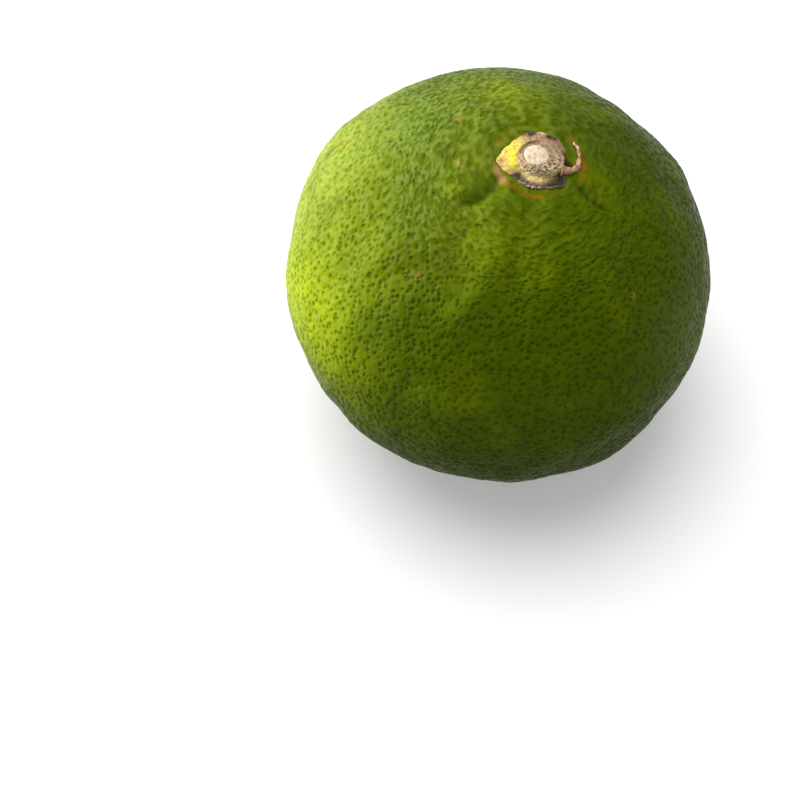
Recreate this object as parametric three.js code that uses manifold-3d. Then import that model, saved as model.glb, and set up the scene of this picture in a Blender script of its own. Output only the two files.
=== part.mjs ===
// A whole bergamot orange standing on its blossom end, in millimetres, +Z up.
//
// The fruit is a slightly flattened globe whose stem axis leans a few degrees
// towards +X. It stands on a small flat spot, and the middle of that spot is
// the origin. On top it keeps what it was picked with: the calyx, a ring of
// five sepals, and the cut stub of its stem, which comes up through the ring.
import * as THREE from 'three';
import { mergeVertices } from 'three/addons/utils/BufferGeometryUtils.js';
import Module from 'manifold-3d';

// ---- Driving dimensions ----------------------------------------------------

const FRUIT = {
  equatorRadius: 36, // across the middle, square to the stem axis
  stemHeight: 32, // from the centre up to the stem pole
  blossomHeight: 32.4, // from the centre down to the blossom pole
  leanDegrees: 9.3, // of the stem axis, from upright towards +X
  detail: 15, // subdivisions of the icosahedron that the skin starts from
};
const REST_SPOT_DEPTH = 0.75; // how much of the underside is flattened
const BASIN = { radius: 9, depth: 0.5 }; // the hollow around the calyx
const RIBS = { count: 5, height: 0.25, reachDegrees: 38 }; // faint ribs at the stem
const SCAR = { radius: 2.4, depth: 0.5 }; // the pit that the flower left below
const SEAT = { radius: 6.9, depth: 1.0 }; // flat seat of the calyx, below the pole
const GAP = 0.3; // left between two pieces that touch

const CALYX = {
  holeRadius: 4.0,
  bodyRadius: 5.3, // between two sepals
  sepalReach: 1.2, // how much further a sepal's tip reaches
  thickness: 1.3,
  droop: 0.45, // how much the rim bends down towards the skin
  turns: 60, // segments round the ring
};
const SEPALS = [
  // where each sepal points, in degrees round the stem axis from +X, and its share
  // of the full reach
  { at: 176, reach: 1.0 },
  { at: 248, reach: 0.55 },
  { at: 311, reach: 0.8 },
  { at: 14, reach: 1.0 },
  { at: 92, reach: 0.45 },
];
const SEPAL_WIDTH_DEGREES = 25;

const STUB = {
  offCentre: 0.2, // along X, from the middle of the calyx
  footRadius: 3.1,
  collarRadius: 3.7, // the ring of bark
  faceRadius: 2.8, // the pale cut face
  height: 2.8, // from the foot to the middle of the cut face
  turns: 40,
};

// Low swells and dents of the skin. Each points from the fruit's centre, in the
// part's frame, and fades out over its spread.
const SWELLS = [
  { toward: [-0.74, 0.55, 0.38], spread: 8, height: 0.35 }, // shoulder, back left
  { toward: [-0.985, 0.14, 0.1], spread: 9, height: -0.85 }, // dent below it
  { toward: [0.51, -0.71, -0.48], spread: 9.5, height: 1.1 }, // belly, front right
  { toward: [0.82, -0.47, -0.32], spread: 9, height: -0.35 }, // dent beside it
  { toward: [0.59, 0.66, 0.46], spread: 8, height: -0.55 }, // back right
  { toward: [0.87, 0.41, 0.29], spread: 9, height: 0.4 },
  { toward: [0.95, -0.25, -0.18], spread: 9, height: -0.4 },
  { toward: [0.16, 0.81, 0.56], spread: 6, height: -0.25 },
  { toward: [-0.25, 0.83, 0.5], spread: 9, height: -0.3 },
  { toward: [-0.5, 0.74, 0.45], spread: 7, height: -0.25 },
  { toward: [-0.35, -0.55, 0.75], spread: 9, height: 0.4 }, // below the calyx
  { toward: [-0.1, -0.9, 0.35], spread: 10, height: -0.35 },
  { toward: [-0.75, -0.6, 0.2], spread: 12, height: 0.45 },
  { toward: [0.35, -0.35, 0.87], spread: 9, height: 0.3 },
];
const RIPPLE = { count: 34, spread: 10, height: 0.28 }; // finer unevenness all round

// ---- The skin --------------------------------------------------------------

const degrees = THREE.MathUtils.degToRad;

/** 1 on the axis of a feature, fading to 0 as the angle passes its spread. */
function fade(angle, spread) {
  return Math.exp(-((angle / spread) ** 2));
}

/** Evenly scattered directions with heights that rise and fall from one to the next. */
function rippleSwells() {
  const goldenAngle = Math.PI * (3 - Math.sqrt(5));
  return Array.from({ length: RIPPLE.count }, (_, i) => {
    const z = 1 - (2 * i + 1) / RIPPLE.count;
    const across = Math.sqrt(1 - z * z);
    const turn = i * goldenAngle;
    return {
      toward: [across * Math.cos(turn), across * Math.sin(turn), z],
      spread: RIPPLE.spread * (1 + 0.3 * Math.sin(i * 1.7)),
      height: RIPPLE.height * Math.sin(i * 2.3),
    };
  });
}

// The fruit's own frame has its stem axis along +Z and its centre at the origin.
// This turn and shift carry it to the part's frame, where the lowest point of the
// leaning globe comes REST_SPOT_DEPTH below the origin.
const lean = degrees(FRUIT.leanDegrees);
const flattening = FRUIT.equatorRadius ** 2 - FRUIT.blossomHeight ** 2;
const centreHeight = Math.hypot(
  FRUIT.equatorRadius * Math.sin(lean),
  FRUIT.blossomHeight * Math.cos(lean),
);
const lowestPointX = (flattening * Math.sin(lean) * Math.cos(lean)) / centreHeight;
const placeFruit = new THREE.Matrix4()
  .makeRotationY(lean)
  .setPosition(-lowestPointX, 0, centreHeight - REST_SPOT_DEPTH);

const swells = [...SWELLS, ...rippleSwells()].map((swell) => ({
  axis: new THREE.Vector3(...swell.toward)
    .normalize()
    .applyAxisAngle(new THREE.Vector3(0, 1, 0), -lean),
  spread: degrees(swell.spread),
  height: swell.height,
}));

/** How far the skin is from the fruit's centre in one direction, in its own frame. */
function skinRadius(direction) {
  const fromStem = Math.acos(THREE.MathUtils.clamp(direction.z, -1, 1));
  const around = Math.atan2(direction.y, direction.x);
  const halfHeight = direction.z > 0 ? FRUIT.stemHeight : FRUIT.blossomHeight;
  let radius = 1 / Math.hypot(Math.sin(fromStem) / FRUIT.equatorRadius,
    Math.cos(fromStem) / halfHeight);
  radius -= BASIN.depth * fade(fromStem, BASIN.radius / FRUIT.stemHeight);
  radius -= SCAR.depth * fade(Math.PI - fromStem, SCAR.radius / FRUIT.blossomHeight);
  const reach = degrees(RIBS.reachDegrees);
  radius += RIBS.height * Math.cos(RIBS.count * around)
    * fade(fromStem, reach) * (1 - fade(fromStem, reach / 4));
  for (const swell of swells) {
    radius += swell.height * fade(direction.angleTo(swell.axis), swell.spread);
  }
  return radius;
}

function skinGeometry() {
  const geometry = new THREE.IcosahedronGeometry(1, FRUIT.detail);
  const positions = geometry.getAttribute('position');
  const point = new THREE.Vector3();
  for (let i = 0; i < positions.count; i++) {
    point.fromBufferAttribute(positions, i).normalize();
    point.multiplyScalar(skinRadius(point));
    positions.setXYZ(i, point.x, point.y, point.z);
  }
  return geometry.applyMatrix4(placeFruit);
}

// ---- Cutting ---------------------------------------------------------------

const wasm = await Module();
wasm.setup();

/** A three.js geometry as a manifold-3d solid. */
function solidOf(geometry) {
  const bare = new THREE.BufferGeometry();
  bare.setAttribute('position', geometry.getAttribute('position'));
  if (geometry.index) bare.setIndex(geometry.index);
  const merged = mergeVertices(bare, 1e-3);
  return new wasm.Manifold(new wasm.Mesh({
    numProp: 3,
    vertProperties: Float32Array.from(merged.getAttribute('position').array),
    triVerts: Uint32Array.from(merged.index.array),
  }));
}

function geometryOf(solid) {
  const mesh = solid.getMesh();
  const geometry = new THREE.BufferGeometry();
  geometry.setAttribute('position', new THREE.BufferAttribute(mesh.vertProperties, 3));
  geometry.setIndex(new THREE.BufferAttribute(mesh.triVerts, 1));
  geometry.computeVertexNormals();
  return geometry;
}

/** What lies under the surface that the fruit stands on. */
function groundGeometry() {
  const side = 4 * FRUIT.equatorRadius;
  return new THREE.BoxGeometry(side, side, side).translate(0, 0, -side / 2);
}

/** A round plug that cuts the calyx's flat seat into the stem end. */
function seatGeometry() {
  const tall = 10;
  return new THREE.CylinderGeometry(SEAT.radius, SEAT.radius, tall, 48)
    .rotateX(Math.PI / 2)
    .translate(0, 0, FRUIT.stemHeight - SEAT.depth + tall / 2)
    .applyMatrix4(placeFruit);
}

function fruitGeometry() {
  return geometryOf(
    solidOf(skinGeometry()).subtract(solidOf(groundGeometry())).subtract(solidOf(seatGeometry())),
  );
}

// ---- The calyx and the stub, in a frame whose origin is on the seat ---------

/** How far the ring's rim reaches out towards one side, because of its sepals. */
function sepalReach(around) {
  let reach = 0;
  for (const sepal of SEPALS) {
    const off = THREE.MathUtils.euclideanModulo(
      around - degrees(sepal.at) + Math.PI, 2 * Math.PI) - Math.PI;
    reach += sepal.reach * fade(off, degrees(SEPAL_WIDTH_DEGREES));
  }
  return CALYX.sepalReach * reach;
}

/** A ring turned round the stem, with its rim pulled out into five sepals. */
function calyxGeometry() {
  const { holeRadius, bodyRadius, thickness, turns } = CALYX;
  const section = new THREE.CatmullRomCurve3([
    new THREE.Vector3(holeRadius, 0.1, 0),
    new THREE.Vector3(bodyRadius - 0.4, 0, 0),
    new THREE.Vector3(bodyRadius, 0.45, 0),
    new THREE.Vector3(bodyRadius - 0.5, 0.95, 0),
    new THREE.Vector3(holeRadius + 0.4, thickness, 0),
    new THREE.Vector3(holeRadius, thickness - 0.35, 0),
  ], true).getSpacedPoints(18).map((p) => new THREE.Vector2(Math.max(p.x, holeRadius), p.y));
  section[section.length - 1].copy(section[0]);
  const geometry = new THREE.LatheGeometry(section, turns).rotateX(Math.PI / 2);
  const positions = geometry.getAttribute('position');
  for (let i = 0; i < positions.count; i++) {
    const x = positions.getX(i);
    const y = positions.getY(i);
    const radius = Math.hypot(x, y);
    const outwards = THREE.MathUtils.clamp(
      (radius - holeRadius) / (bodyRadius - holeRadius), 0, 1);
    const stretched = radius + outwards * sepalReach(Math.atan2(y, x));
    const scale = stretched / radius;
    const down = CALYX.droop * Math.max(0, stretched - bodyRadius + 0.6) / 2;
    positions.setXYZ(i, x * scale, y * scale, positions.getZ(i) - down + CALYX.droop / 2);
  }
  return geometry;
}

/** The short piece of stem left on the fruit: a foot, a ring of bark and the cut face. */
function stubGeometry() {
  const { offCentre, footRadius, collarRadius, faceRadius, height, turns } = STUB;
  const profile = [
    new THREE.Vector2(0, 0),
    new THREE.Vector2(footRadius - 0.3, 0),
    new THREE.Vector2(footRadius, 0.3),
    new THREE.Vector2(footRadius, height * 0.4),
    new THREE.Vector2(collarRadius, height * 0.62),
    new THREE.Vector2(collarRadius, height * 0.76),
    new THREE.Vector2(collarRadius - 0.35, height * 0.88),
    new THREE.Vector2(faceRadius, height * 0.9),
    new THREE.Vector2(faceRadius - 0.15, height * 0.97),
    new THREE.Vector2(faceRadius / 2, height),
    new THREE.Vector2(0, height),
  ];
  return new THREE.LatheGeometry(profile, turns).rotateX(Math.PI / 2).translate(offCentre, 0, 0);
}

// ---- Putting it together ---------------------------------------------------

function piece(name, geometry, material) {
  const mesh = new THREE.Mesh(geometry, material);
  mesh.name = name;
  return mesh;
}

const rind = new THREE.MeshStandardMaterial({
  color: 0x5f7d12, roughness: 0.45, metalness: 0,
});
const driedSepal = new THREE.MeshStandardMaterial({
  color: 0x9a7d45, roughness: 0.8, metalness: 0,
});
const cutWood = new THREE.MeshStandardMaterial({
  color: 0xcbb79a, roughness: 0.85, metalness: 0,
});

const bergamot = new THREE.Group();
bergamot.add(piece('fruit', fruitGeometry(), rind));

const stemEnd = new THREE.Group();
stemEnd.rotation.y = lean;
stemEnd.position
  .set(0, 0, FRUIT.stemHeight - SEAT.depth + GAP)
  .applyMatrix4(placeFruit);
stemEnd.add(piece('calyx', calyxGeometry(), driedSepal));
stemEnd.add(piece('stem_stub', stubGeometry(), cutWood));
bergamot.add(stemEnd);

export default bergamot;
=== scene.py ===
# %% [markdown]
# # A bergamot orange
#
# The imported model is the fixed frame: a fruit, the dried calyx on its stem end and
# the cut stub of its stem. Each is a plain closed solid of the right size. This file
# makes the surface that is looked at. It models a finer skin, calyx and stub in the
# same place, gives them their materials, and sets up a floor, light and a camera.

# %% Load the frame
import math
import bmesh
import bpy
import numpy as np
from mathutils import Matrix, Vector, noise
from mathutils.bvhtree import BVHTree


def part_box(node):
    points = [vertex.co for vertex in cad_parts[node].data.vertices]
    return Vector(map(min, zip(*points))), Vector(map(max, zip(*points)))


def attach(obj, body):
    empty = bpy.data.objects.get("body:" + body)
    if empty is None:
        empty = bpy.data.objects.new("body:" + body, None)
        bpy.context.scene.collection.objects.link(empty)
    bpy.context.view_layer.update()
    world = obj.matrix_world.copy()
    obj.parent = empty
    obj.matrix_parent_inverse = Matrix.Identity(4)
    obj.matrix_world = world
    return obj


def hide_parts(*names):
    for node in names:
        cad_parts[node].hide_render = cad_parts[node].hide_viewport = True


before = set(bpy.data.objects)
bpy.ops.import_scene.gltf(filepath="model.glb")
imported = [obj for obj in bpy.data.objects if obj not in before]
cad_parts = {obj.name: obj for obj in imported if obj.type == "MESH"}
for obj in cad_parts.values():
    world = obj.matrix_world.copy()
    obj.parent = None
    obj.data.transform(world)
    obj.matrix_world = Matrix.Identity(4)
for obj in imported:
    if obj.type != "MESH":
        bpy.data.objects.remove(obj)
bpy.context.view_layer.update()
MM = 0.001  # sizes below are in millimetres, and Blender works in metres


# %% [markdown]
# ## Where the stem end is
#
# The fruit leans a little, so its stem axis isn't upright. Both the calyx and the
# stub stand on a flat seat that the CAD model cuts into the fruit, and they are
# easiest to shape in a frame of their own: the origin just above the middle of the
# seat, Z along the stem, in millimetres. The flat faces of the CAD nodes give it.

# %% The stem's own frame
SEAT_GAP = 0.3  # between the seat and what stands on it


def flat_face(node, facing, tolerance):
    """The middle and the normal of a CAD node's faces that look one way."""
    faces = [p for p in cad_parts[node].data.polygons
             if p.normal.dot(facing) > tolerance]
    area = sum(p.area for p in faces)
    middle = sum((p.center * p.area for p in faces), Vector()) / area
    normal = sum((p.normal * p.area for p in faces), Vector()).normalized()
    return middle, normal


stem_axis = -flat_face("stem_stub", Vector((0, 0, -1)), 0.9)[1]
seat_middle = flat_face("fruit", stem_axis, 0.9999)[0]
stem_x = (Vector((1, 0, 0)) - stem_axis * stem_axis.x).normalized()
turn = Matrix((stem_x, stem_axis.cross(stem_x), stem_axis)).transposed()
STEM = (Matrix.Translation(seat_middle + stem_axis * SEAT_GAP * MM)
        @ turn.to_4x4() @ Matrix.Scale(MM, 4))
fruit_low, fruit_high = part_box("fruit")
MIDDLE = (fruit_low + fruit_high) / 2
print("the stem leans", round(math.degrees(stem_axis.angle(Vector((0, 0, 1)))), 2), "degrees")


# %% [markdown]
# ## Sculpting in code
#
# A grown thing has no straight line in it, so most of its shape comes from moving
# the vertices of a fine mesh, as sculpting does by hand. These helpers read and
# write all the vertices of a piece at once, and give the soft brushes: a fade
# around a place, a ramp from one value to another, noise with lumps of a given
# size, and the distance from a line drawn through a few points.

# %% Brushes
def moved(points, matrix):
    """The points, as rows, after a matrix."""
    m = np.array(matrix)
    return points @ m[:3, :3].T + m[:3, 3]


def read(piece, what="co"):
    values = np.empty(len(piece.data.vertices) * 3, np.float32)
    source = piece.data.vertices if what == "co" else piece.data.vertex_normals
    source.foreach_get("co" if what == "co" else "vector", values)
    return values.reshape(-1, 3).astype(float)


def write(piece, points):
    piece.data.vertices.foreach_set("co", points.astype(np.float32).ravel())
    piece.data.update()


def fade(distance, spread):
    return np.exp(-(distance / spread) ** 2)


def ramp(values, low, high):
    """0 up to low and 1 from high on, or the other way round, with soft ends."""
    t = np.clip((values - low) / (high - low), 0, 1)
    return t * t * (3 - 2 * t)


def wander(points, size, seed=0):
    """Noise between about -1 and 1 whose lumps are about that size."""
    shift = Vector((17.3, 5.1, 29.7)) * seed
    return np.array([noise.noise(Vector(p) / size + shift) for p in points])


def from_line(points, line):
    """How far each point is from a line through a few points, and on which side."""
    best = np.full(len(points), np.inf)
    side = np.zeros(len(points))
    for start, end in zip(line, line[1:]):
        start, along = np.array(start), np.subtract(end, start)
        offset = points - start
        t = np.clip(offset @ along / (along @ along), 0, 1)
        distance = np.linalg.norm(offset - t[:, None] * along, axis=1)
        cross = along[0] * offset[:, 1] - along[1] * offset[:, 0]
        side = np.where(distance < best, np.sign(cross), side)
        best = np.minimum(best, distance)
    return best, side


def near(points, place, spread):
    return fade(np.linalg.norm(points - np.array(place), axis=1), spread)


def settle(piece):
    """Turns a piece's modifiers into its mesh."""
    graph = bpy.context.evaluated_depsgraph_get()
    graph.update()
    mesh = bpy.data.meshes.new_from_object(piece.evaluated_get(graph))
    piece.modifiers.clear()
    piece.data = mesh


def smoother(piece, levels):
    modifier = piece.modifiers.new("finer", "SUBSURF")
    modifier.levels = modifier.render_levels = levels
    settle(piece)


def new_piece(name, bm):
    mesh = bpy.data.meshes.new(name)
    bmesh.ops.recalc_face_normals(bm, faces=bm.faces)
    bm.to_mesh(mesh)
    bm.free()
    mesh.polygons.foreach_set("use_smooth", [True] * len(mesh.polygons))
    piece = bpy.data.objects.new(name, mesh)
    bpy.context.scene.collection.objects.link(piece)
    return piece


def keep(piece, name, values, kind="FLOAT"):
    """Keeps a value of each vertex with the mesh, for its material to read."""
    field = {"FLOAT": "value", "FLOAT_VECTOR": "vector", "FLOAT_COLOR": "color"}[kind]
    attribute = piece.data.attributes.new(name, kind, "POINT")
    attribute.data.foreach_set(field, np.asarray(values, np.float32).ravel())


def paint(tint, mask, colour):
    """Lays a colour over the vertex colours as far as a mask says."""
    tint += mask[:, None] * (np.array(colour) - tint)


# %% [markdown]
# ## The skin
#
# A sphere with poles would pinch its faces together just where the calyx draws the
# eye. A cube whose faces are divided and whose corners are pushed out to a ball has
# no poles and nearly even squares. Each corner then goes out from the fruit's
# middle to the CAD skin, so the fruit's own lean, belly and shoulders carry over,
# and a subdivision surface rounds it off.

# %% A round cage on the CAD skin
CAGE_DOUBLINGS = 4
SKIN_LEVELS = 3

bm = bmesh.new()
bmesh.ops.create_cube(bm, size=2)
for _ in range(CAGE_DOUBLINGS):
    bmesh.ops.subdivide_edges(bm, edges=bm.edges[:], cuts=1, use_grid_fill=True)
    for v in bm.verts:
        v.co.normalize()

cad_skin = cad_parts["fruit"].data
shell = BVHTree.FromPolygons([v.co for v in cad_skin.vertices],
                             [p.vertices for p in cad_skin.polygons])
for v in bm.verts:
    v.co = shell.ray_cast(MIDDLE, turn @ v.co)[0]
skin = new_piece("fruit_skin", bm)
smoother(skin, SKIN_LEVELS)
print("the skin has", len(skin.data.polygons), "squares")


# %% [markdown]
# ## Lumps, folds and scars
#
# A bergamot's rind is uneven at every scale. These moves go from large to small:
# soft lumps all over, wrinkles that run round the stem, ribs that run down from it,
# the sharp fold and the crease beside the calyx, a dent with a healed scar, and the
# scab round the calyx. Places are given in the stem's frame, across the stem, or as
# an angle from the stem and a turn round it.

# %% Measures of every vertex
points = read(skin)
outward = read(skin, "normal")
place = moved(points, STEM.inverted())
across = place[:, :2]
off_stem = np.linalg.norm(across, axis=1)
middle = np.array(STEM.inverted() @ MIDDLE)
stem_side = place[:, 2] > middle[2]
from_middle = place - middle
from_stem = np.degrees(np.arccos(from_middle[:, 2] / np.linalg.norm(from_middle, axis=1)))


def on_skin(angle, around):
    """A place on the skin from its angle off the stem and its turn round it."""
    a, b = math.radians(angle), math.radians(around)
    way = np.array((math.sin(a) * math.cos(b), math.sin(a) * math.sin(b), math.cos(a)))
    hit = shell.ray_cast(MIDDLE, turn @ Vector(way))[0]
    return np.array(STEM.inverted() @ hit)


# %% Where the oil glands are longer
# Towards the stem the skin is drawn tight and its glands stretch round the stem.
# Squeezing the coordinates that the glands are laid out in stretches them.
EVEN_FROM = 22.0
TIGHTEST = 4.0
DRIFT = 0.3  # how far a gland may drift, so that neighbours run together
squeeze = np.sqrt(np.clip(off_stem, TIGHTEST, EVEN_FROM) / EVEN_FROM)
gland_place = place * np.stack([squeeze, squeeze, np.ones(len(place))], axis=1)
gland_place += DRIFT * np.stack([wander(place, 1.7, seed) for seed in (11, 12, 13)], axis=1)

# %% Lumps and wrinkles
rise = 0.3 * wander(place, 9) + 0.2 * wander(place, 4, 1)
stem_end = ramp(from_stem, 50, 22)
rise += 0.15 * stem_end * wander(gland_place, 1.9, 2)
rise += (0.08 + 0.06 * stem_end) * wander(gland_place, 1.15, 3)

# %% Ribs that run down from the stem
RIBS = [  # height, half width, and the line across the stem that it follows
    (0.75, 2.5, [(-5.3, -7.2), (-6.1, -12.2), (-6.3, -16.6), (-8.0, -20.7), (-10.4, -23.1)]),
    (0.4, 2.2, [(2.0, -8.2), (2.9, -12.6), (2.8, -16.5), (2.3, -21.7)]),
    (0.3, 2.4, [(9.8, -8.8), (10.9, -12), (12.1, -15.5)]),
    (0.5, 2.6, [(-15.5, -14.5), (-22, -13.8)]),
    (-0.4, 2.0, [(-10.2, -12), (-12.6, -15)]),
    (-0.5, 2.1, [(-20.5, -16.5), (-17.5, -19.5), (-15, -22.5)]),
    (-0.35, 1.8, [(-2.8, -11.5), (-3, -18.5)]),
    (-0.45, 2.4, [(-24.5, -7.5), (-28.4, -10.3), (-29.5, -14)]),
    (0.3, 1.8, [(-15.5, 2.6), (-19.2, 3.5), (-24, 5)]),
    (-0.35, 1.6, [(-13.5, 0.4), (-17.3, 1.0), (-22, 1.4)])]
for height, spread, line in RIBS:
    gap = from_line(across, line)[0]
    rise += np.where(stem_side, height * fade(gap, spread), 0)
turn_and_angle = np.c_[across / off_stem[:, None] * 20, from_stem * 0.12]
rise += 0.22 * wander(turn_and_angle, 4.5, 14) * ramp(from_stem, 9, 18) * ramp(from_stem, 62, 42)

# %% The fold and the crease beside the calyx
FOLD = [(-6.2, -3.9), (-6.8, -6.0), (-8.3, -7.2), (-10.3, -8.1), (-12.8, -8.7)]
CREASE = [(6.3, -3.3), (8.5, -5.4), (9.8, -6.4), (12.1, -6.8)]
gap, side = from_line(across, FOLD)
fold_ends = ramp(off_stem, 17, 12)
rise -= np.where(stem_side, 0.7 * fade(gap, 0.8) * fold_ends, 0)
fold_shade = np.where(stem_side, fade(gap + np.sign(side) * 1.0, 1.7) * fold_ends, 0)
rise += np.where(stem_side & (side > 0), 0.25 * fade(gap - 2.4, 1.5) * fold_ends, 0)
rise += np.where(stem_side & (side < 0), 0.2 * fade(gap - 3.2, 1.7) * fold_ends, 0)
gap, side = from_line(across, CREASE)
crease = np.where(stem_side, fade(gap, 0.36) * ramp(off_stem, 15, 12), 0)
rise -= 0.45 * crease
rise += np.where(stem_side & (side < 0), 0.12 * fade(gap - 1.1, 0.7), 0)

# %% The scarred dent, the specks and the flower's scar
DENT = on_skin(65.6, 156)
BLOSSOM = on_skin(180, 0)
SPECKS = [(27.5, 143, 0.55), (22.3, 181, 0.4), (47.8, 224, 0.5), (46.8, 313, 0.45),
          (71, 75, 0.6), (98, 20, 0.5), (88, 118, 0.8), (110, 262, 0.5), (120, 160, 0.7),
          (64, 34, 0.4), (79, 208, 0.45), (103, 325, 0.6), (134, 80, 0.6)]
dent = near(place, DENT, 1.5)
blossom = near(place, BLOSSOM, 1.6)
rise -= 0.7 * dent + 0.5 * blossom
rise += 0.5 * near(place, BLOSSOM, 0.6)
specks = np.zeros(len(place))
for angle, around, size in SPECKS:
    specks = np.maximum(specks, near(place, on_skin(angle, around), size))
rise += 0.07 * specks

# %% The scab round the calyx
SCAB_STRETCHES = [  # turn round the stem, how far off it, width, strength
    (-178, 6.9, 0.3, 0.2), (-160, 6.7, 0.5, 1.0), (-143, 6.8, 0.42, 0.9), (-116, 6.45, 0.3, 0.75),
    (-92, 6.3, 0.3, 0.8), (-72, 6.25, 0.25, 0.35), (-45, 6.8, 0.2, 0.0), (-15, 7.5, 0.3, 0.3),
    (5, 7.6, 0.6, 0.85), (22, 7.7, 0.55, 0.8), (38, 8.1, 0.55, 0.75), (55, 8.0, 0.3, 0.15),
    (100, 6.9, 0.2, 0.0), (148, 7.1, 0.4, 0.35), (168, 7.0, 0.25, 0.1)]


def round_stem(turns, stops):
    """Values given at some turns round the stem, eased from each to the next."""
    at = np.array([stop[0] for stop in stops])
    values = np.array([stop[1:] for stop in stops])
    following = np.searchsorted(at, turns) % len(at)
    before = (following - 1) % len(at)
    span = (at[following] - at[before]) % 360
    part = ((turns - at[before]) % 360) / span
    part = part * part * (3 - 2 * part)
    return (values[before] + part[:, None] * (values[following] - values[before])).T


around = np.degrees(np.arctan2(across[:, 1], across[:, 0]))
scab_radius, scab_width, scab_strength = round_stem(around, SCAB_STRETCHES)
scab = fade(off_stem - scab_radius - 0.5 * wander(place, 1.6, 4), scab_width) * stem_side
scab *= np.clip(scab_strength * (1.1 + 0.9 * wander(place, 0.9, 5)), 0, 1)
rise += scab * (0.12 + 0.1 * wander(place, 0.6, 6))

write(skin, points + outward * rise[:, None] * MM)
print("the skin's lumps and dents go from", round(rise.min(), 2), "to", round(rise.max(), 2), "mm")

# %% Keep what the material needs
smooth_patch = np.where(stem_side, near(across, (-9.6, -4.9), 2.1), 0)
glands = (1 - 0.45 * stem_end) * (1 - 0.7 * smooth_patch) * (1 - scab) * (1 - blossom) * (1 - 0.6 * dent)
ridges = (0.3 + 0.7 * stem_end) * (1 - 0.7 * smooth_patch) * (1 - scab)
keep(skin, "gland_place", gland_place, "FLOAT_VECTOR")
keep(skin, "glands", glands)
keep(skin, "ridges", ridges)
print("glands keep", round(glands.mean(), 2), "of their full depth on average")


# %% [markdown]
# ## Building node trees
#
# Materials and the dimpling of the skin are both node trees. Long trees are hard to
# follow as lists of links, so a small class wraps one socket: arithmetic on it adds
# Math nodes, and one method adds any other node.

# %% Sockets that can be added and multiplied
class Wire:
    """An output socket. Arithmetic on it adds Math nodes to its tree."""

    def __init__(self, tree, socket):
        self.tree = tree
        self.socket = socket

    def __add__(self, other):
        return self.tree.math("ADD", self, other)

    __radd__ = __add__

    def __sub__(self, other):
        return self.tree.math("SUBTRACT", self, other)

    def __rsub__(self, other):
        return self.tree.math("SUBTRACT", other, self)

    def __mul__(self, other):
        return self.tree.math("MULTIPLY", self, other)

    __rmul__ = __mul__


class Tree:
    def __init__(self, tree):
        self.tree = tree

    def node(self, kind, settings=None, sockets=None, out=0):
        """Adds a node, sets it up, fills or links its sockets and returns one output."""
        made = self.tree.nodes.new(kind)
        for name, value in (settings or {}).items():
            if name == "stops":
                ramp_points = made.color_ramp.elements
                while len(ramp_points) < len(value):
                    ramp_points.new(1)
                for stop, (position, colour) in zip(ramp_points, value):
                    stop.position = position
                    stop.color = (*colour, 1)
            else:
                setattr(made, name, value)
        for name, value in (sockets or {}).items():
            socket = made.inputs[name]
            if isinstance(value, Wire):
                self.tree.links.new(value.socket, socket)
            else:
                socket.default_value = value
        return Wire(self, made.outputs[out]) if made.outputs else None

    def math(self, operation, a, b):
        return self.node("ShaderNodeMath", {"operation": operation}, {0: a, 1: b})

    def smooth(self, value, low, high, start=0.0, end=1.0):
        """Maps low..high to start..end with soft ends."""
        return self.node("ShaderNodeMapRange", {"interpolation_type": "SMOOTHSTEP"},
                         {"Value": value, "From Min": low, "From Max": high,
                          "To Min": start, "To Max": end})

    def mix(self, factor, a, b, blend="MIX"):
        """A colour between a and b. Sockets 6, 7 and output 2 are the colour ones."""
        a, b = ((*c, 1) if isinstance(c, tuple) else c for c in (a, b))
        return self.node("ShaderNodeMix", {"data_type": "RGBA", "blend_type": blend},
                         {0: factor, 6: a, 7: b}, out=2)

    def noise(self, place, size, detail=2.0):
        """Noise from 0 to 1 with lumps of about that size in the place's unit."""
        return self.node("ShaderNodeTexNoise", None,
                         {"Vector": place, "Scale": 1 / size, "Detail": detail})

    def gland_distance(self, place):
        """How far a place is from the nearest oil gland, in gland spacings."""
        return self.node("ShaderNodeTexVoronoi", {"feature": "F1"},
                         {"Vector": place, "Scale": 1 / GLAND_SPACING, "Randomness": 0.9})


# %% [markdown]
# ## Oil glands
#
# Thousands of small glands pit the rind. They are laid out by a Voronoi texture,
# which puts one point in each cell of a jittered grid. A Geometry Nodes modifier
# pushes the skin in around the points, and the material will use the very same
# texture for the finer, sharper part of each pit, so colour and shape agree.

# %% Dimple the skin
GLAND_SPACING = 0.92
GLAND_DEPTH = 0.09

dimples = bpy.data.node_groups.new("gland_dimples", "GeometryNodeTree")
dimples.interface.new_socket("Geometry", in_out="INPUT", socket_type="NodeSocketGeometry")
dimples.interface.new_socket("Geometry", in_out="OUTPUT", socket_type="NodeSocketGeometry")
tree = Tree(dimples)
surface = tree.node("NodeGroupInput")
where = tree.node("GeometryNodeInputNamedAttribute", {"data_type": "FLOAT_VECTOR"},
                  {"Name": "gland_place"})
strength = tree.node("GeometryNodeInputNamedAttribute", {"data_type": "FLOAT"},
                     {"Name": "glands"})
pit = tree.smooth(tree.gland_distance(where), 0.08, 0.62, 1.0, 0.0) * strength
push = tree.node("ShaderNodeVectorMath", {"operation": "SCALE"},
                 {0: tree.node("GeometryNodeInputNormal"), "Scale": pit * (-GLAND_DEPTH * MM)})
pitted = tree.node("GeometryNodeSetPosition", None, {"Geometry": surface, "Offset": push})
tree.node("NodeGroupOutput", None, {"Geometry": pitted})
skin.modifiers.new("dimples", "NODES").node_group = dimples
settle(skin)

# The fruit stands on a flat spot, so nothing may reach below the floor.
points = read(skin)
points[:, 2] = np.maximum(points[:, 2], 0)
write(skin, points)
print("the skin stands", round(points[:, 2].min() / MM, 3), "mm above the floor")


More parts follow.
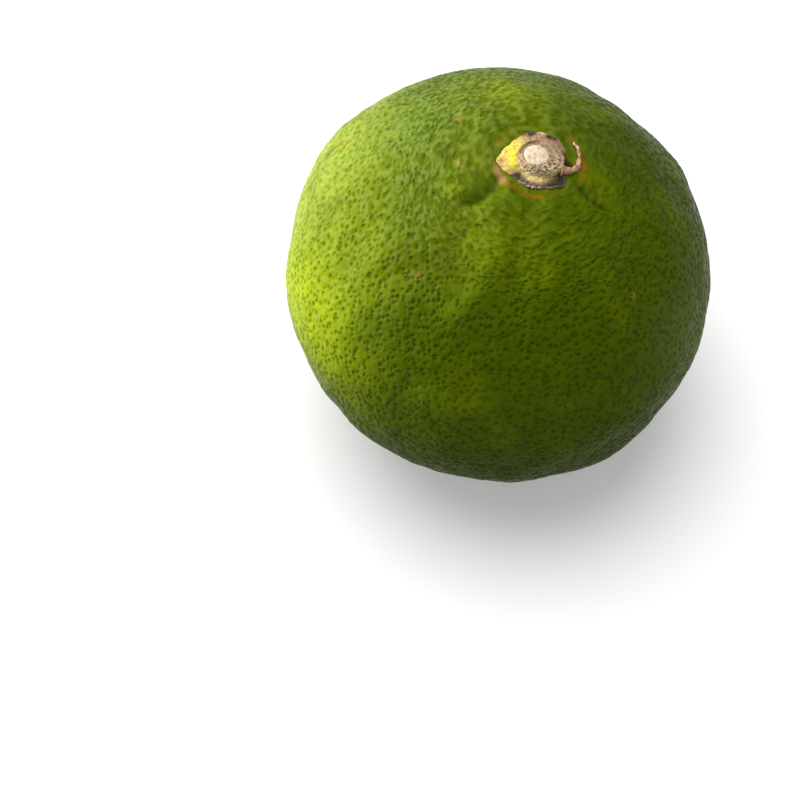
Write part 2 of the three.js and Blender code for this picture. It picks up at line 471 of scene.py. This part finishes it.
# %% [markdown]
# ## The rind's colours
#
# Green rind isn't one green. The side that had the sun is yellower, and the same
# side, the one towards the lamp on the left, is made lighter still as painted light.
# The underside and the front below are painted shade, the upper left gets a paler
# green as painted sheen, and patches lie between them. An image could hold such
# colours, but they belong to places on this one fruit, so they are laid on the
# vertices, along with the scars and the painted shade in the fold, the crease and
# the hollow beside the stub. The material adds what is too fine for vertices.

# %% Broad colours on the vertices
SUN_AND_LAMP_GREEN = (0.23, 0.285, 0.002)
DEEP_GREEN = (0.043, 0.066, 0.0003)
COOL_GREEN = (0.045, 0.076, 0.002)
YELLOW_GREEN = (0.13, 0.162, 0.001)
PAINTED_SHADE_TONE = (0.026, 0.04, 0.001)
SCAR_ORANGE = (0.2, 0.065, 0.008)
SCAR_PINK = (0.3, 0.17, 0.09)
SPECK_TAN = (0.24, 0.13, 0.05)
PAINTED_SHEEN_GREEN = (0.155, 0.195, 0.045)
HOLLOW_SHADE_TONE = (0.02, 0.012, 0.008)
FOLD_SHADE_TONE = (0.028, 0.05, 0.0005)
CREASE_SHADE_TONE = (0.015, 0.022, 0.001)
BLOSSOM_BROWN = (0.12, 0.08, 0.035)
SUN_AND_LAMP_WAY = np.array((-0.97, 0.1, -0.1))
SHEEN_WAY = np.array((-0.75, 0.6, 0.27))
PATCHES = [  # angle off the stem, turn round it, spread, strength and colour
    (29.4, 100, 3.2, 0.55, YELLOW_GREEN), (32, 110, 9, 0.35, YELLOW_GREEN),
    (31, 235, 10, 0.35, YELLOW_GREEN), (60, 204, 6, 0.8, (0.085, 0.12, 0.0005)),
    (22, 170, 5, 0.25, YELLOW_GREEN), (40, 152, 9, 0.6, (0.08, 0.122, 0.012)),
    (47, 266, 7, 0.5, (0.035, 0.06, 0.0003)), (35, 18, 7, 0.6, PAINTED_SHADE_TONE),
    # The patch at (68, 159), beside the dent, is painted shade in its hollow.
    (70, 331, 8, 0.45, (0.1, 0.13, 0.04)), (68, 159, 1.4, 0.6, (0.05, 0.075, 0.002))]

way_out = from_middle / np.linalg.norm(from_middle, axis=1)[:, None]
# Painted sheen: strongest on the upper left, towards the lamps, and weaker near the stem.
waxy = ramp(way_out @ SHEEN_WAY, -0.1, 0.8) * (1 - 0.65 * stem_end)
keep(skin, "waxy", waxy)
tint = np.tile(np.array(DEEP_GREEN), (len(place), 1))
# Yellower towards the left: partly the rind's sun-ripened colour, partly painted light from the lamp on
# that side.
sun_and_lamp_side = ramp(way_out @ SUN_AND_LAMP_WAY + 0.1 * wander(place, 14, 7), 0.38, 1.05)
paint(tint, sun_and_lamp_side, SUN_AND_LAMP_GREEN)
# Painted sheen: a paler, bluer green on the upper left, where the lit skin would reflect the lamp.
paint(tint, 0.6 * ramp(way_out @ SHEEN_WAY, 0.62, 0.9) * sun_and_lamp_side, PAINTED_SHEEN_GREEN)
paint(tint, 0.5 * ramp(wander(place, 9, 8), 0.0, 0.5) * (1 - 0.5 * sun_and_lamp_side), COOL_GREEN)
paint(tint, 0.22 * ramp(wander(place, 6, 9), 0.1, 0.55), YELLOW_GREEN)
# Painted shade: the underside and the lower front are made a darker green.
paint(tint, 0.85 * ramp(-outward[:, 2] - 0.4 * outward[:, 1], -0.1, 0.65), PAINTED_SHADE_TONE)
for angle, around_stem, spread, strength, colour in PATCHES:
    paint(tint, strength * near(place, on_skin(angle, around_stem), spread), colour)
paint(tint, 0.6 * near(across, (-7.0, -2.2), 1.5) * stem_side, YELLOW_GREEN)
paint(tint, 0.6 * smooth_patch, DEEP_GREEN)
# Painted shade in the hollow between the stub and the curled tip.
hollow_shade = np.clip(2 * near(across, (4.8, 0.2), 0.9) * stem_side, 0, 1)
paint(tint, 0.9 * hollow_shade, HOLLOW_SHADE_TONE)
# Painted shade in the hollow of the fold.
paint(tint, 0.6 * fold_shade, FOLD_SHADE_TONE)
# Painted shade along the crease.
paint(tint, 0.65 * crease, CREASE_SHADE_TONE)
paint(tint, 0.85 * near(place, DENT, 0.8), SCAR_ORANGE)
paint(tint, 0.75 * specks, SPECK_TAN)
paint(tint, 0.9 * near(place, BLOSSOM, 1.3), BLOSSOM_BROWN)
paint(tint, 0.85 * scab, SCAR_ORANGE)
paint(tint, 0.7 * scab * ramp(np.abs((around + 156 + 180) % 360 - 180), 24, 8), SCAR_PINK)
keep(skin, "tint", np.c_[tint, np.ones(len(tint))], "FLOAT_COLOR")
print("the rind's mean colour is", [round(c, 3) for c in tint.mean(axis=0)])


# %% [markdown]
# ## The rind's material
#
# Each gland is a sunken dot, painted darker: partly the gland's own green, partly
# painted shade in the pit. The skin between them has a coat of wax. The fine shape
# comes from three bumps at once: the gland pits, the ridges between them and a
# leathery grain. Wax could be shown by reflection alone, but a strong one lays a
# white veil over the whole edge of a round thing. So the reflection is kept weak, the
# ridges are made lighter as painted highlights, and on the lit side they also get a
# paler green as painted sheen instead.

# %% Rind
def start_material(name):
    material = bpy.data.materials.new(name)
    material.use_nodes = True
    material.node_tree.nodes.clear()
    return material, Tree(material.node_tree)


def finish_material(tree, constants, changing):
    """A Principled shader: constants are set on its sockets, what changes is linked."""
    shader = tree.node("ShaderNodeBsdfPrincipled", None, {**constants, **changing})
    tree.node("ShaderNodeOutputMaterial", None, {"Surface": shader})


def attribute(tree, name, out="Fac"):
    return tree.node("ShaderNodeAttribute", {"attribute_name": name}, None, out)


PIT_COLOUR_AND_SHADE_TINT = (0.42, 0.58, 0.2)
RIDGE_HIGHLIGHT_TINT = (1.4, 1.38, 1.2)
PATCH_TINT = (1.4, 1.4, 1.0)
RIDGE_SHEEN_GREEN = (0.42, 0.5, 0.16)

rind, tree = start_material("rind")
where = attribute(tree, "gland_place", "Vector")
strength = attribute(tree, "glands")
distance = tree.gland_distance(where)
pit = tree.smooth(distance, 0.0, 0.62, 1.0, 0.0) * strength
worm = tree.smooth(tree.noise(where, 1.05, 0.0), 0.32, 0.68)
patchy = tree.noise(where, 2.4)
grain = tree.noise(where, 0.25, 2.0)
green = attribute(tree, "tint", "Color")
green = tree.mix(tree.smooth(patchy, 0.35, 0.7) * 0.3, green, PATCH_TINT, "MULTIPLY")
# Darker glands: partly their own colour, partly painted shade in the pits.
green = tree.mix(pit * 0.9, green, PIT_COLOUR_AND_SHADE_TINT, "MULTIPLY")
ridge = worm * attribute(tree, "ridges")
# Painted highlight: the ridge tops are made lighter, where glints would be.
green = tree.mix(ridge * 0.6, green, RIDGE_HIGHLIGHT_TINT, "MULTIPLY")
# Painted sheen: ridges on the lit side are mixed towards a paler green.
green = tree.mix(ridge * attribute(tree, "waxy") * 0.24, green, RIDGE_SHEEN_GREEN)
height = ridge * 0.18 - pit * 0.22 + grain * 0.012  # in millimetres
bump = tree.node("ShaderNodeBump", None, {"Height": height, "Distance": MM, "Strength": 1.0})
finish_material(
    tree,
    {"Specular IOR Level": 0.012},
    {"Base Color": green, "Roughness": 0.27 + 0.1 * grain + 0.1 * pit, "Normal": bump},
)
skin.data.materials.clear()
skin.data.materials.append(rind)
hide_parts("fruit")
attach(skin, "root")
print("the rind is done")


# %% [markdown]
# ## The cut stub
#
# The stem was clipped just above the fruit. What is left is a button of wood: a
# pale cut face, a collar of bark round it that is wider on one side, and a rough
# wall down to the fruit. It is round, so a half outline spun about the stem gives
# the form, and moving its vertices takes the roundness off again.

# %% Spin the stub
STUB_OUTLINE = [(0, -0.3), (3.5, -0.3), (3.6, 0.2), (3.6, 0.7), (3.6, 1.1), (3.75, 1.4),
                (3.7, 1.7), (3.4, 1.95), (3.0, 2.15), (2.6, 2.28), (2.25, 2.3), (2.05, 2.42),
                (1.85, 2.62), (1.5, 2.7), (1.0, 2.72), (0.5, 2.74), (0, 2.74)]


def spun(name, outline, steps, levels, closed=False):
    """A half outline of (distance from the stem, height) turned all the way round."""
    bm = bmesh.new()
    corners = [bm.verts.new((r, 0, z)) for r, z in outline]
    pairs = list(zip(corners, corners[1:] + corners[:1] if closed else corners[1:]))
    edges = [bm.edges.new(pair) for pair in pairs]
    bmesh.ops.spin(bm, geom=corners + edges, cent=(0, 0, 0), axis=(0, 0, 1),
                   angle=math.tau, steps=steps, use_merge=True)
    bmesh.ops.remove_doubles(bm, verts=bm.verts, dist=1e-5)
    piece = new_piece(name, bm)
    smoother(piece, levels)
    return piece


stub = spun("cut_stub", STUB_OUTLINE, 64, 2)
p = read(stub)
r = np.linalg.norm(p[:, :2], axis=1)
turned = np.degrees(np.arctan2(p[:, 1], p[:, 0]))
face = ramp(r, 2.15, 1.85) * ramp(p[:, 2], 1.5, 2.2)
collar = ramp(p[:, 2], 0.9, 1.5) * (1 - face)
wall = ramp(p[:, 2], 1.4, 0.8)
STUB_ROUGHNESS = 0.06
shape = p.copy()
outer = np.clip((r - 1.8) / 1.9, 0, 1)
shape[:, 0] += 1.1 * outer - 0.75
shape[:, 1] = p[:, 1] * (1 - 0.15 * outer) + 0.3 * outer - 0.5
growth = np.sin(r * 9 + 1.5 * wander(p, 2.0, 20))
shape[:, 2] += 0.05 * collar * growth + STUB_ROUGHNESS * wander(p, 0.7, 21)
shape[:, 2] -= 0.22 * collar * fade((turned - 135 + 180) % 360 - 180, 40)
shape[:, 2] -= 0.05 * face * np.maximum(wander(p, 0.5, 22), 0)
cracks = face * fade(wander(p * (1, 1, 0), 1.2, 23), 0.035) * ramp(r, 0.2, 0.7)
shape[:, 2] -= 0.08 * cracks
pores = (wall + collar) * ramp(wander(p, 0.36, 28), 0.16, 0.36)
pores *= 0.5 + 0.5 * ramp(-p[:, 1], -0.5, 1.8)
bulge = 0.13 * wander(p, 0.8, 25) * (1 - face) - 0.3 * pores
shape[:, :2] *= (1 + bulge / np.maximum(r, 1))[:, None]

BARK = (0.44, 0.32, 0.17)
PALE_WOOD = (0.6, 0.48, 0.34)
BARK_EDGE = (0.035, 0.022, 0.012)
WALL_CREAM = (0.62, 0.52, 0.22)
stub_tint = np.tile(np.array(BARK), (len(p), 1))
paint(stub_tint, wall, WALL_CREAM)
paint(stub_tint, 0.5 * collar * ramp(growth, 0.2, 0.9), (0.55, 0.44, 0.3))
paint(stub_tint, 0.6 * collar * ramp(-growth, 0.3, 0.9), (0.16, 0.1, 0.06))
paint(stub_tint, 0.6 * collar * ramp(wander(p, 0.9, 27), 0.1, 0.4), (0.2, 0.12, 0.075))
ring = fade(r - 2.2 - 0.1 * wander(p, 0.6, 26), 0.2) * ramp(p[:, 2], 1.5, 2.0)
ring *= 0.15 + 0.85 * fade((turned - 150 + 180) % 360 - 180, 55)
paint(stub_tint, 0.5 * collar * fade(turned - 35, 40), (0.2, 0.13, 0.09))
paint(stub_tint, 0.95 * ring, BARK_EDGE)
rim = ramp(r, 2.6, 2.95) * ramp(p[:, 2], 0.7, 1.1)
rim *= np.clip(1.5 * fade((turned - 135 + 180) % 360 - 180, 42), 0, 1)
paint(stub_tint, 0.9 * rim, BARK_EDGE)
paint(stub_tint, face, PALE_WOOD)
rays = fade(np.sin(np.radians(turned) * 5 + 2 * wander(p, 1.0, 29)), 0.3) * ramp(r, 0.3, 0.9)
paint(stub_tint, 0.3 * face * rays, (0.3, 0.2, 0.12))
paint(stub_tint, 0.5 * cracks, (0.16, 0.09, 0.05))
paint(stub_tint, 0.9 * pores, BARK_EDGE)
write(stub, moved(shape, STEM))
keep(stub, "tint", np.c_[stub_tint, np.ones(len(p))], "FLOAT_COLOR")
keep(stub, "stem_place", shape, "FLOAT_VECTOR")
print("the stub is", round(np.ptp(shape[:, 0]), 1), "mm across")


# %% [markdown]
# ## The calyx
#
# The flower's five sepals stay on the fruit as a dry, woody star. Here they have
# grown together into a low collar round the stub: one still yellow, two brown and
# mauve, one withered to a dark scale over a hollow, and one curled up at its tip.
# The hollows between the sepals are painted near black, as painted shade.
# The collar starts as a closed outline spun round the stem, as the stub did, and
# its rim and height are then set sepal by sepal.

# %% Spin the collar and pull out the sepals
HOLE = 3.2
BASE = -0.5
WASHER = 2.3  # from the hole to the rim, before the sepals are pulled out
COLLAR_OUTLINE = [(0, 0), (0.8, 0), (0.93, 0.1), (1, 0.5), (0.93, 0.9), (0.8, 1),
                  (0.6, 1), (0.4, 1), (0.2, 1), (0.05, 1), (0, 0.8), (0, 0.4)]
# Turn round the stem, radius and height of the rim, height at the stub
SEPALS = [(-178, 6.6, -0.2, 1.15), (-165, 6.0, 0.0, 1.1), (-148, 5.3, 0.1, 0.9),
          (-135, 5.0, 0.1, 0.5), (-122, 5.1, 0.15, 0.7), (-100, 5.15, 0.15, 0.75),
          (-75, 5.1, 0.15, 0.75), (-58, 5.3, 0.05, 0.5), (-40, 6.0, 0.0, 0.3),
          (-25, 5.1, -0.05, 0.3), (-10, 4.9, 0.0, 0.9), (5, 4.35, 0.0, 1.0),
          (18, 4.7, 0.3, 1.4), (34, 5.55, 0.65, 1.5), (56, 5.85, 0.8, 1.5),
          (80, 5.75, 0.85, 1.45), (105, 5.6, 0.8, 1.35), (129, 5.35, 0.5, 1.25),
          (145, 5.35, 0.45, 1.25), (162, 5.8, 0.15, 1.2)]


def turn_fade(turns, at, spread):
    """A fade round the stem, from the turn where it is strongest."""
    return fade((turns - at + 180) % 360 - 180, spread)


calyx = spun("calyx_sepals", [(HOLE + u * WASHER, w) for u, w in COLLAR_OUTLINE], 96, 2,
             closed=True)
p = read(calyx)
r = np.linalg.norm(p[:, :2], axis=1)
turned = np.degrees(np.arctan2(p[:, 1], p[:, 0]))
out = np.clip((r - HOLE) / WASHER, 0, 1)
level = p[:, 2]
rim, rim_height, stub_height = round_stem(turned, SEPALS)
rim += 0.16 * wander(p, 0.8, 30)
gaps = np.clip(1.3 * turn_fade(turned, -48, 26) + turn_fade(turned, -128, 13), 0, 1)
hollow = ramp(out, 0.3, 0.45) * ramp(out, 0.92, 0.75) * gaps
lip = turn_fade(turned, -93, 32) * fade(out - 0.2, 0.26)
crown = stub_height + (rim_height - stub_height) * out ** 1.15
crown -= 0.35 * hollow
crown += (0.07 + 0.2 * turn_fade(turned, -95, 45) * out) * wander(p * (1, 1, 0), 0.55, 31)
crown += 0.06 * wander(np.c_[turned / 5, out * 1.5, out * 0], 1.0, 32)
shape = p.copy()
shape[:, :2] *= ((HOLE + out * (rim - HOLE)) / r)[:, None]
shape[:, 2] = BASE + level * (np.maximum(crown, -0.2) - BASE)

TAN = (0.28, 0.17, 0.09)
MAUVE = (0.2, 0.115, 0.07)
YELLOW = (0.5, 0.36, 0.06)
LEMON = (0.5, 0.5, 0.004)
BLACKISH_SPOTS_AND_SHADE = (0.02, 0.01, 0.007)
MAROON = (0.05, 0.014, 0.01)
CREAM = (0.66, 0.52, 0.2)
RUST = (0.2, 0.065, 0.015)
# The spots at (4.6, 0.3) and (-3.5, -3.4) lie in hollows and are painted shade; the other near-black
# ones are the calyx's own spots.
CALYX_SPOTS = [((-1.2, 4.75), 0.55, BLACKISH_SPOTS_AND_SHADE), ((-0.6, 5.1), 0.4, BLACKISH_SPOTS_AND_SHADE), ((1.9, 4.5), 0.6, BLACKISH_SPOTS_AND_SHADE),
               ((2.7, 4.3), 0.5, MAROON), ((4.2, 1.5), 0.5, RUST), ((-2.2, 4.7), 0.5, RUST),
               ((0.9, 5.4), 0.4, CREAM), ((-4.1, -3.3), 0.6, RUST), ((4.6, 0.3), 0.7, BLACKISH_SPOTS_AND_SHADE),
               ((-5.9, -0.4), 0.5, (0.3, 0.17, 0.06)), ((-3.5, -3.4), 0.6, BLACKISH_SPOTS_AND_SHADE)]
calyx_tint = np.tile(np.array(TAN), (len(p), 1))
flat = shape[:, :2]
paint(calyx_tint, 0.8 * turn_fade(turned, 45, 30) * ramp(out, 0.2, 0.55), MAUVE)
paint(calyx_tint, 0.6 * turn_fade(turned, 95, 30) * ramp(out, 0.4, 0.7), (0.3, 0.18, 0.12))
yellow = np.maximum(turn_fade(turned, 178, 34), turn_fade(turned, 150, 22))
paint(calyx_tint, np.clip(1.4 * yellow, 0, 1), YELLOW)
blotch = ramp(wander(p, 0.7, 34), 0.1, 0.4) * ramp(out, 0.35, 0.7)
paint(calyx_tint, 0.5 * np.clip(1.4 * yellow, 0, 1) * blotch, (0.3, 0.19, 0.05))
streak = fade(flat[:, 0] + 4.15, 0.4) * ramp(np.abs(flat[:, 1] - 0.3), 2.6, 1.6)
paint(calyx_tint, 0.9 * streak * (flat[:, 0] < 0), LEMON)
paint(calyx_tint, 0.5 * near(flat, (-3.6, -2.3), 0.5), (0.2, 0.19, 0.005))
for spot_place, size, colour in CALYX_SPOTS:
    paint(calyx_tint, np.clip(1.4 * near(flat, spot_place, size), 0, 1), colour)
paint(calyx_tint, np.clip(1.3 * turn_fade(turned, -38, 20), 0, 1) * (1 - lip), MAROON)
# Painted shade: the hollows between the sepals are painted near black.
paint(calyx_tint, np.clip(1.5 * hollow, 0, 1), BLACKISH_SPOTS_AND_SHADE)
fringe = turn_fade(turned, -100, 32) * ramp(out, 0.75, 0.9)
# A dark band partway out at the front: partly the dry sepals' own dark brown, partly painted shade below
# the lip.
paint(calyx_tint, 0.85 * turn_fade(turned, -100, 42) * ramp(out, 0.55, 0.72), (0.06, 0.035, 0.025))
paint(calyx_tint, 0.85 * fringe * ramp(wander(p, 0.4, 33), 0.02, 0.25), (0.45, 0.36, 0.27))
paint(calyx_tint, 0.7 * turn_fade(turned, -42, 14) * fade(out - 0.97, 0.04), (0.3, 0.25, 0.17))
paint(calyx_tint, np.clip(1.4 * lip, 0, 1), CREAM)
paint(calyx_tint, 0.7 * lip * ramp(wander(p, 0.36, 35), 0.15, 0.35), (0.1, 0.06, 0.03))
write(calyx, moved(shape, STEM))
keep(calyx, "tint", np.c_[calyx_tint, np.ones(len(p))], "FLOAT_COLOR")
keep(calyx, "stem_place", shape, "FLOAT_VECTOR")
print("the calyx is", round(np.ptp(shape[:, 0]), 1), "mm across")


# %% [markdown]
# One sepal has withered to a thin strip whose tip curls back over the skin. A strip
# that bends in space is easiest as a curve with a round section, thinner towards its
# end, which then becomes a mesh.

# %% The curled tip
CURL = [((3.7, -1.3, 0.4), 0.8), ((4.7, -1.2, 0.2), 0.68), ((5.8, -0.8, 0.0), 0.56),
        ((6.6, 0.2, -0.05), 0.42), ((6.85, 1.6, 0.05), 0.3), ((6.75, 3.0, 0.12), 0.24),
        ((6.4, 4.1, 0.1), 0.2), ((6.05, 4.9, -0.05), 0.14)]
path = bpy.data.curves.new("curl", "CURVE")
path.dimensions = "3D"
path.bevel_depth = 1
path.bevel_resolution = 6
path.resolution_u = 12
path.use_fill_caps = True
spline = path.splines.new("BEZIER")
spline.bezier_points.add(len(CURL) - 1)
for bend, (position, radius) in zip(spline.bezier_points, CURL):
    bend.co = position
    bend.radius = radius
    bend.handle_left_type = bend.handle_right_type = "AUTO"
strip = bpy.data.objects.new("curl", path)
bm = bmesh.new()
bm.from_mesh(strip.to_mesh())
strip.to_mesh_clear()
bpy.data.objects.remove(strip)
bmesh.ops.remove_doubles(bm, verts=bm.verts, dist=1e-4)
curl = new_piece("curled_tip", bm)
shape = read(curl)
shape += 0.26 * np.stack([wander(shape, 0.7, seed) for seed in (40, 41, 42)], axis=1)
curl_tint = np.tile(np.array((0.3, 0.17, 0.09)), (len(shape), 1))
paint(curl_tint, 0.6 * ramp(wander(shape, 0.7, 43), 0.05, 0.4), (0.2, 0.09, 0.04))
paint(curl_tint, 0.6 * ramp(wander(shape, 0.6, 44), 0.1, 0.4), (0.42, 0.28, 0.17))
write(curl, moved(shape, STEM))
keep(curl, "tint", np.c_[curl_tint, np.ones(len(shape))], "FLOAT_COLOR")
keep(curl, "stem_place", shape, "FLOAT_VECTOR")
print("the curl has", len(curl.data.polygons), "faces")


# %% [markdown]
# ## Dry sepal and cut wood
#
# Both are dry plant fibre: dull, streaked and grainy. One function makes both
# materials from the vertex colours, fine streaks that follow the stem's frame, and
# a bump, with a different strength for each.

# %% Fibre
def fibre(name, streak, roughness, relief):
    material, tree = start_material(name)
    where = attribute(tree, "stem_place", "Vector")
    coarse = tree.noise(where, 0.5, 4.0)
    fine = tree.noise(where, streak, 3.0)
    tint = attribute(tree, "tint", "Color")
    tint = tree.mix(tree.smooth(coarse, 0.48, 0.7) * 0.6, tint, (0.42, 0.34, 0.27), "MULTIPLY")
    tint = tree.mix(tree.smooth(fine, 0.5, 0.75) * 0.4, tint, (1.4, 1.4, 1.4), "MULTIPLY")
    bump = tree.node("ShaderNodeBump", None, {"Height": coarse + fine * 0.6,
                                              "Distance": relief * MM, "Strength": 1.0})
    finish_material(tree, {"Specular IOR Level": 0.3},
                    {"Base Color": tint, "Roughness": roughness + 0.2 * fine, "Normal": bump})
    return material


dry_sepal = fibre("dried_sepal", 0.16, 0.5, 0.1)
for piece, node, slot, material in [
        (calyx, "calyx", "dried_sepal", dry_sepal),
        (curl, "calyx", "dried_sepal", dry_sepal),
        (stub, "stem_stub", "cut_wood", fibre("cut_wood", 0.12, 0.65, 0.08))]:
    piece.data.materials.clear()
    piece.data.materials.append(material)
    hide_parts(node)
    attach(piece, "root")
print("the stem end is done")


# %% [markdown]
# ## Floor, light and camera
#
# The fruit stands on plain white card. A big soft light almost straight above gives
# the short, soft shadow and keeps the card white. A second one, low on the left and a
# little behind, models the fruit from bright to dark. It casts no shadow, so that the
# card has only one. A dim white world fills the shadow.

# %% Floor
bm = bmesh.new()
bmesh.ops.create_grid(bm, x_segments=1, y_segments=1, size=3.0)
floor = new_piece("floor", bm)
card, tree = start_material("white_card")
finish_material(tree, {"Base Color": (0.7, 0.7, 0.697, 1), "Roughness": 0.9,
                       "Specular IOR Level": 0.1}, {})
floor.data.materials.append(card)
print("the card is", round(floor.dimensions.x), "m wide")


# %% Light
def softbox(name, towards_light, distance, size, power):
    data = bpy.data.lights.new(name, "AREA")
    data.shape = "DISK"
    data.size = size
    data.energy = power
    light = bpy.data.objects.new(name, data)
    bpy.context.scene.collection.objects.link(light)
    way = Vector(towards_light).normalized()
    light.location = MIDDLE + way * distance
    light.rotation_mode = "QUATERNION"
    light.rotation_quaternion = way.to_track_quat("Z", "Y")
    return light


softbox("above", (-0.2, 0.25, 0.95), 0.9, 1.1, 12)
softbox("left", (-0.93, 0.3, 0.2), 0.8, 0.5, 11.5).data.use_shadow = False
world = bpy.data.worlds.new("studio")
world.use_nodes = True
world.node_tree.nodes["Background"].inputs["Color"].default_value = (1, 1, 1, 1)
world.node_tree.nodes["Background"].inputs["Strength"].default_value = 0.5
bpy.context.scene.world = world
bpy.context.scene.view_settings.view_transform = "Standard"

# %% Camera
LENS = 105
LOOKING_DOWN = math.radians(59)
DISTANCE = 393.6 * MM  # along the view, to the middle of the fruit
RIGHT_OF_CENTRE = 16.53 * MM
ABOVE_CENTRE = 21.43 * MM
FRUIT_MIDDLE_BELOW_SEAT = 31.3

data = bpy.data.cameras.new("camera")
data.lens = LENS
camera = bpy.data.objects.new("camera", data)
bpy.context.scene.collection.objects.link(camera)
ahead = Vector((0, math.cos(LOOKING_DOWN), -math.sin(LOOKING_DOWN)))
up = Vector((0, math.sin(LOOKING_DOWN), math.cos(LOOKING_DOWN)))
aim = STEM @ Vector((0, 0, -FRUIT_MIDDLE_BELOW_SEAT))
camera.location = aim - ahead * DISTANCE - Vector((RIGHT_OF_CENTRE, 0, 0)) - up * ABOVE_CENTRE
camera.rotation_mode = "QUATERNION"
camera.rotation_quaternion = (-ahead).to_track_quat("Z", "Y")
bpy.context.scene.camera = camera
print("the camera is at", [round(c / MM, 1) for c in camera.location], "mm")
